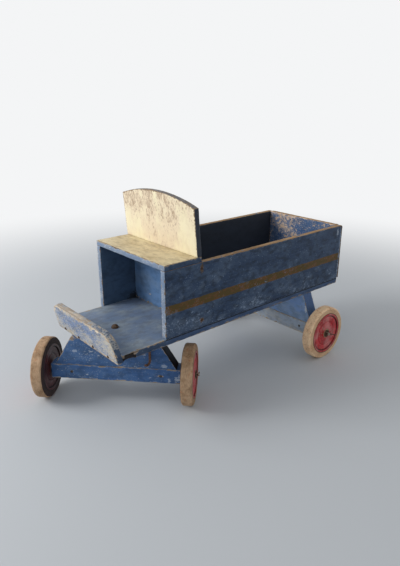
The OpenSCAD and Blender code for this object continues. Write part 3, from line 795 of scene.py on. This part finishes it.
def settle(piece, body, slot, *nodes):
    """Hands a finished piece over to its body, in place of its nodes."""
    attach(piece, body)
    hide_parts(*nodes)


def stand(piece, at, rotation=(0, 0, 0)):
    """Turns a piece that was made round the origin and stands it in its place."""
    only(piece)
    piece.location = at
    piece.rotation_euler = rotation
    apply_place()


def spin_outline(name, outline, steps):
    """Draws a closed outline of (radius, height) points by extruding a vertex, and spins it
    round Z."""
    only()
    bpy.ops.mesh.primitive_plane_add(size=MM, location=(0, 0, 0))
    piece = bpy.context.object
    piece.name = piece.data.name = name
    bpy.ops.object.mode_set(mode="EDIT")
    bpy.ops.mesh.select_mode(type="VERT")
    bpy.ops.mesh.select_all(action="SELECT")
    bpy.ops.mesh.merge(type="CENTER")
    bpy.ops.transform.translate(value=(outline[0][0], 0, outline[0][1]))
    for (r0, z0), (r1, z1) in zip(outline, outline[1:]):
        bpy.ops.mesh.extrude_region_move(
            TRANSFORM_OT_translate={"value": (r1 - r0, 0, z1 - z0)})
    done()
    ends = [Vector((r, 0, z)) for r, z in (outline[0], outline[-1])]
    pick(piece, "VERT", lambda place: min((place - end).length for end in ends) < 1e-6)
    bpy.ops.mesh.edge_face_add()
    bpy.ops.mesh.select_all(action="SELECT")
    bpy.ops.mesh.spin(steps=steps, angle=math.tau, center=(0, 0, 0), axis=(0, 0, 1))
    bpy.ops.mesh.select_all(action="SELECT")
    bpy.ops.mesh.remove_doubles(threshold=0.01 * MM)
    bpy.ops.mesh.normals_make_consistent(inside=False)
    done()
    return piece


# ---------------------------------------------------------------- body boards
def side_panel(side, seed, outside_paint, outward):
    """A side panel with its rear top corner rounded. outward is 1 for the panel whose outside
    looks along Y and -1 for the other."""
    node = "side_panel_" + side
    lo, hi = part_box(node)
    panel = block("painted_" + node, lo, hi)
    round_edges(panel, lambda m: abs(m.x - lo.x) < MM and abs(m.z - hi.z) < MM, PANEL_CORNER, 6)
    weather(panel, X, seed, sheltered=lambda x, y, z: (z < lo.z + PAINT_BAND)
            | (z > hi.z - PAINT_BAND) & (x > seat_lo.x))
    # Inside faces take the navy painted dark as painted shade
    paint_faces(panel,
                (outside_paint, lambda n, m: n.y * outward > FACING),
                (front_edge_paint, lambda n, m: n.x > FACING),
                (leg_paint, lambda n, m: n.y * outward < -FACING and m.x > wall_x),
                (inside_shade_paint, lambda n, m: n.y * outward < -FACING),
                (rubbed_paint, lambda n, m: n.z > LEANING
                 or n.x < -0.3 and m.z > hi.z - 2 * PANEL_CORNER),
                (edge_paint, everywhere))
    settle(panel, "wagon_body", "dark_blue_paint", node)


side_panel("left", 1, left_paint, 1)
side_panel("right", 2, right_paint, -1)


def in_rot(normal, middle):
    """True in and round the hollow that has rotted out of the deck's left edge, where the black
    painted shade goes.
    """
    away = Vector([(m - c) / r for m, c, r in zip(middle, rot_centre, ROT)])
    return away.length < ROT_SHADE_REACH and normal.z < LEANING


deck = block("painted_floor_board", floor_lo, floor_hi)
saw(deck, (nose_hi.x - NOSE_THICKNESS * math.cos(NOSE_LEAN), 0, nose_hi.z),
    (math.cos(NOSE_LEAN), 0, -math.sin(NOSE_LEAN)))
only()
bpy.ops.mesh.primitive_uv_sphere_add(segments=32, ring_count=16, radius=1, location=rot_centre,
                                     scale=ROT)
apply_place()
cut_with(deck, bpy.context.object, "DIFFERENCE")
weather(deck, X, 3, sheltered=lambda x, y, z: (z > floor_hi.z - PAINT_BAND) & (x < panel_hi.x))
# The rot hollow and a band round it are painted black as painted shade
paint_faces(deck, (black_shade_paint, in_rot),
            (floor_edge_paint, lambda n, m: abs(n.y) > FACING and m.x < panel_hi.x),
            (edge_paint, lambda n, m: abs(n.y) > FACING),
            (deck_paint, everywhere))
settle(deck, "wagon_body", "grey_blue_paint", "floor_board")

wall = block("painted_partition", *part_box("partition"))
weather(wall, Y, 4, sheltered=lambda x, y, z: z > floor_hi.z + 4 * PAINT_BAND)
paint_faces(wall, (partition_paint, lambda n, m: n.x > LEANING), (inside_shade_paint, everywhere))
settle(wall, "wagon_body", "grey_blue_paint", "partition")

tail = block("painted_tailboard", tail_lo, tail_hi)
weather(tail, Y, 5)
paint_faces(tail, (tail_paint, lambda n, m: n.x > LEANING),
            (rubbed_paint, lambda n, m: n.z > LEANING), (edge_paint, everywhere))
settle(tail, "wagon_body", "grey_blue_paint", "tailboard")

# ---------------------------------------------------------------- seat
seat = block("painted_seat_board", seat_lo, seat_hi)
weather(seat, Y, 6, sheltered=lambda x, y, z: z < seat_lo.z + PAINT_BAND)
paint_faces(seat, (cream_paint, lambda n, m: n.z > LEANING),
            (front_edge_paint, lambda n, m: n.x > FACING), (edge_paint, everywhere))
settle(seat, "wagon_body", "cream_paint", "seat_board")

# The back's top is an arc, cut by a wide round bar that lies along X
half_width = (back_hi.y - back_lo.y) / 2
arch_radius = (half_width ** 2 + BACK_RISE ** 2) / (2 * BACK_RISE)
back = block("painted_seat_back", (-BACK_THICKNESS, -half_width, 0), (0, half_width, BACK_REACH))
arch = cylinder(arch_radius, 6 * BACK_THICKNESS, (0, 0, BACK_REACH - arch_radius),
                (0, math.pi / 2, 0), ARCH_SIDES)
cut_with(back, arch, "INTERSECT")
weather(back, Z, 7, spacing=FINE_NET, chips=1.0 * MM, sheltered=lambda x, y, z: z < 3 * MM)
paint_faces(back, (back_paint, lambda n, m: n.x > FACING),
            (arch_paint, lambda n, m: n.z > LEANING),
            (inside_shade_paint, lambda n, m: abs(n.y) > FACING), (edge_paint, everywhere))
stand(back, (back_lo.x + BACK_THICKNESS / math.cos(BACK_LEAN), (back_lo.y + back_hi.y) / 2,
             back_lo.z), (0, BACK_LEAN, 0))
settle(back, "wagon_body", "cream_paint", "seat_back")

# ---------------------------------------------------------------- nose board
nose = block("painted_nose_board", (0, nose_lo.y, -NOSE_BELOW_DECK),
             (NOSE_THICKNESS, nose_hi.y, NOSE_HEIGHT - NOSE_BELOW_DECK))
round_edges(nose, lambda m: abs(m.x - NOSE_THICKNESS / 2) < MM and m.z > 0, NOSE_CORNER, 14)
weather(nose, Y, 8, arris=1.6 * MM, chips=2 * MM, spacing=FINE_NET)
paint_faces(nose, (nose_paint, lambda n, m: n.x > FACING),
            (deck_paint, lambda n, m: n.x < -FACING),
            (nose_top_paint, lambda n, m: n.z > 0.05), (edge_paint, everywhere))
stand(nose, (floor_hi.x, 0, floor_hi.z), (0, NOSE_LEAN, 0))
settle(nose, "wagon_body", "grey_blue_paint", "nose_board")


# ---------------------------------------------------------------- axles
def axle_beam(name, length, seed, finish, ends, nut_hollow=False):
    """A beam across the cart, with or without a hollow below for the kingpin's nut."""
    beam = block(name, (-BEAM_DEPTH / 2, -length / 2, beam_lo.z),
                 (BEAM_DEPTH / 2, length / 2, beam_hi.z))
    if nut_hollow:
        cut_with(beam, cylinder(NUT_RECESS_RADIUS, 2 * NUT_RECESS_DEPTH, (0, 0, beam_lo.z)),
                 "DIFFERENCE")
    weather(beam, Y, seed, spacing=FINE_NET)
    paint_faces(beam, (ends, lambda n, m: abs(n.y) > FACING), (finish, everywhere))
    return beam


def bolster(name, foot, top, height, seed, finish, ends):
    """The plank between the beam and the body, with its ends sawn on the slope."""
    plank = block(name, (-BEAM_DEPTH / 2, -foot / 2, beam_hi.z),
                  (BEAM_DEPTH / 2, foot / 2, height))
    slope = math.atan2((foot - top) / 2, height - beam_hi.z)
    for side in (1, -1):
        saw(plank, (0, side * foot / 2, beam_hi.z), (0, side * math.cos(slope), math.sin(slope)))
    weather(plank, Y, seed, spacing=FINE_NET)
    paint_faces(plank, (ends, lambda n, m: abs(n.y) > LEANING), (finish, everywhere))
    return plank


front_axle_at, front_turn = (kingpin.x, kingpin.y, 0), (0, 0, steer)
# The front axle's sawn ends take the black painted shade
beam = axle_beam("painted_front_beam", FRONT_BEAM_LENGTH, 9, front_beam_paint, black_shade_paint,
                 nut_hollow=True)
stand(beam, front_axle_at, front_turn)
settle(beam, "front_axle", "bright_blue_paint", "front_axle_beam")
plank = bolster("painted_front_bolster", FRONT_BOLSTER_FOOT, FRONT_BOLSTER_TOP,
                front_bolster_hi.z, 10, front_bolster_paint, black_shade_paint)
stand(plank, front_axle_at, front_turn)
settle(plank, "front_axle", "bright_blue_paint", "front_bolster")
rear_axle_at = ((beam_lo.x + beam_hi.x) / 2, 0, 0)
beam = axle_beam("painted_rear_beam", beam_hi.y - beam_lo.y, 11, rear_beam_paint, rear_end_paint)
stand(beam, rear_axle_at)
settle(beam, "wagon_body", "pale_blue_paint", "rear_axle_beam")
plank = bolster("painted_rear_bolster", rear_bolster_hi.y - rear_bolster_lo.y, REAR_BOLSTER_TOP,
                rear_bolster_hi.z, 12, rear_paint, rear_end_paint)
stand(plank, rear_axle_at)
settle(plank, "wagon_body", "pale_blue_paint", "rear_bolster")


# ---------------------------------------------------------------- wheels
def arc(centre_r, centre_z, radius, start, end, steps):
    """Points along an arc of an outline."""
    return [(centre_r + radius * math.cos(a), centre_z + radius * math.sin(a))
            for a in (start + (end - start) * k / steps for k in range(steps + 1))]


def line(start, end, steps):
    """The points between two ends of a straight stretch, without the ends."""
    return [(start[0] + (end[0] - start[0]) * k / steps,
             start[1] + (end[1] - start[1]) * k / steps) for k in range(1, steps)]


def tyre_outline():
    """Half a tyre's section: a square inner side, flat walls and two worn shoulders."""
    half, inner = TYRE_WIDTH / 2, disc_radius + TYRE_CLEAR_OF_DISC
    shoulder, tread = wheel_radius - TYRE_EDGE, half - TYRE_EDGE
    low = arc(shoulder, -tread, TYRE_EDGE, -math.pi / 2, 0, 5)
    high = arc(shoulder, tread, TYRE_EDGE, 0, math.pi / 2, 5)
    return ([(inner, -half)] + line((inner, -half), low[0], 4) + low + line(low[-1], high[0], 6)
            + high + line(high[-1], (inner, half), 4) + [(inner, half)])


def disc_outline():
    """Half a disc's section: bore, boss, dished field with two grooves, and rim."""
    half = TYRE_WIDTH / 2
    dish, bottom = half - DISC_DISH, half - GROOVE_DEPTH
    field = disc_radius - DISC_RIM
    middle = (field + BOSS_RADIUS) / 2
    face = [(bush_radius, half), (BOSS_RADIUS, half), (BOSS_RADIUS, dish),
            (middle, dish), (middle, bottom), (middle + GROOVE_WIDTH, bottom),
            (middle + GROOVE_WIDTH, dish), (field - GROOVE_WIDTH, dish),
            (field - GROOVE_WIDTH, bottom), (field, bottom), (field, half), (disc_radius, half)]
    return face + [(r, -z) for r, z in reversed(face)]


tyre = spin_outline("tan_tyre", tyre_outline(), WHEEL_STEPS)
apply_modifier(tyre, "DISPLACE", texture=clouds("unevenness", 28 * MM, 2),
               texture_coords="LOCAL", direction="NORMAL", strength=1.2 * MM, mid_level=0.75)
disc = spin_outline("red_disc", disc_outline(), WHEEL_STEPS)
apply_modifier(disc, "BEVEL", width=0.5 * MM, segments=2, limit_method="ANGLE",
               angle_limit=ARRIS_ANGLE)
turned_corners = np.array(disc_outline())


def wheel_piece(pattern, corner, node, slot, outer, inner, inner_side, rolled, seed):
    """A copy of a wheel's piece with its own mesh, rolled round its axle and stood in place.
    It has the inner finish below the height inner_side and the outer one above."""
    piece = pattern.copy()
    piece.data = pattern.data.copy()
    piece.name = piece.data.name = f"{pattern.name}_{corner}"
    scene.collection.objects.link(piece)
    co = coordinates(piece)
    flat = np.stack([np.hypot(co[:, 0], co[:, 1]), co[:, 2]], 1)
    keep(piece, "grain_place", co + WHEEL_SHIFT * seed)
    near = np.linalg.norm(flat[:, None] - turned_corners[None], axis=2).min(1)
    keep(piece, "arris_mm", near / MM)
    below = TYRE_WIDTH / 2 - DISC_DISH - np.abs(co[:, 2])
    in_field = flat[:, 0] > (disc_radius + BOSS_RADIUS) / 2
    keep(piece, "groove_mm", np.where(in_field, below, 0) / MM)
    only(piece)
    bpy.ops.object.shade_smooth_by_angle(angle=SMOOTH_ANGLE)
    piece.data.materials.clear()
    paint_faces(piece, (inner, lambda n, m: m.z < inner_side), (outer, everywhere))
    stand(piece, (0, 0, 0), (0, 0, rolled))
    outward = 1 if "left" in corner else -1
    stand(piece, joints["spin_" + corner]["pos_m"],
          (-outward * math.pi / 2, 0, steer if "front" in corner else 0))
    settle(piece, "wheel_" + corner, slot, node)


for number, corner in enumerate(("front_left", "front_right", "rear_left", "rear_right")):
    # Every inner side takes the darker copies as painted shade, and the rear tyres take the paler
    # rubber as painted light
    rubber = tan_rubber if "front" in corner else brightened_rubber
    wheel_piece(tyre, corner, "tyre_" + corner, "old_rubber", rubber, shaded_rubber,
                -TYRE_WIDTH / 2 + 2 * MM, 1.3 * number, number)
    wheel_piece(disc, corner, "disc_" + corner, "red_paint", red_enamel, shaded_red,
                -5 * MM, 0.9 * number, number + 4)
bpy.data.objects.remove(tyre)
bpy.data.objects.remove(disc)

# ---------------------------------------------------------------- metal
metal_finishes = {"rope_hook": rusty_wire, "kingpin_bolt": brown_steel, "axle_pin": worn_steel,
                  "nose_screws": rusty_steel, "partition_screws": rusty_steel,
                  "outer_washer": rusty_steel, "cotter": rusty_steel}
for name, piece in frame["nodes"].items():
    if not piece.hide_render:
        piece.data.materials.clear()
        piece.data.materials.append(next((finish for part, finish in metal_finishes.items()
                                          if part in name), dark_steel))


# ---------------------------------------------------------------- floor, light and camera
def seen_or_mirrored(add):
    """1 for what is looked at straight or in a glossy surface."""
    ray = [add("LightPath", result=kind) for kind in ("Is Camera Ray", "Is Glossy Ray")]
    return add("Math", *ray, **LARGER)


only()
bpy.ops.mesh.primitive_plane_add(size=40, location=(0, 0, 0))
floor = bpy.context.object
floor.name = "studio_floor"
# A pale matt floor that fades into the background further off
material, add, shader = start_material("pale_studio_floor")
feed(shader, {"Base Color": FLOOR_GREY, "Roughness": 0.7})
away = add("VectorMath", add("TexCoord", result="Object"), operation="LENGTH")
past = add("MapRange", away, *BACKDROP_FADE, **SOFT)
faded = add("Math", past, seen_or_mirrored(add), **TIMES)
nodes = material.node_tree.nodes
feed(nodes["Material Output"].inputs,
     {"Surface": add("MixShader", faded, nodes["Principled BSDF"].outputs[0],
                     add("Emission", BACKGROUND))})
floor.data.materials.append(material)

world = bpy.data.worlds.new("studio")
scene.world = world
world.use_nodes = True
add = partial(add_node, world.node_tree)
nodes = world.node_tree.nodes
feed(nodes["Background"].inputs, {"Color": AMBIENT_COLOUR, "Strength": AMBIENT_STRENGTH})
feed(nodes["World Output"].inputs,
     {"Surface": add("MixShader", seen_or_mirrored(add), nodes["Background"].outputs[0],
                     add("Background", BACKGROUND, 1.0))})


def stand_looking(name, thing, at, along):
    """Stands a lamp or a camera so that it looks along a direction."""
    stood = bpy.data.objects.new(name, thing)
    stood.location = at
    stood.rotation_euler = along.to_track_quat("-Z", "Y").to_euler()
    scene.collection.objects.link(stood)
    return stood


lamp = bpy.data.lights.new("window_side_softbox", "AREA")
lamp.shape = "DISK"
lamp.size = LAMP_WIDTH
lamp.energy = LAMP_WATTS
stand_looking("window_side_softbox", lamp, LAMP_AT, LAMP_TOWARDS - LAMP_AT)

camera = bpy.data.cameras.new("camera")
camera.sensor_width = CAMERA_SENSOR_MM
camera.lens = CAMERA_LENS_MM
scene.camera = stand_looking("camera", camera, CAMERA_AT, CAMERA_LOOK)

scene.view_settings.view_transform = "Standard"
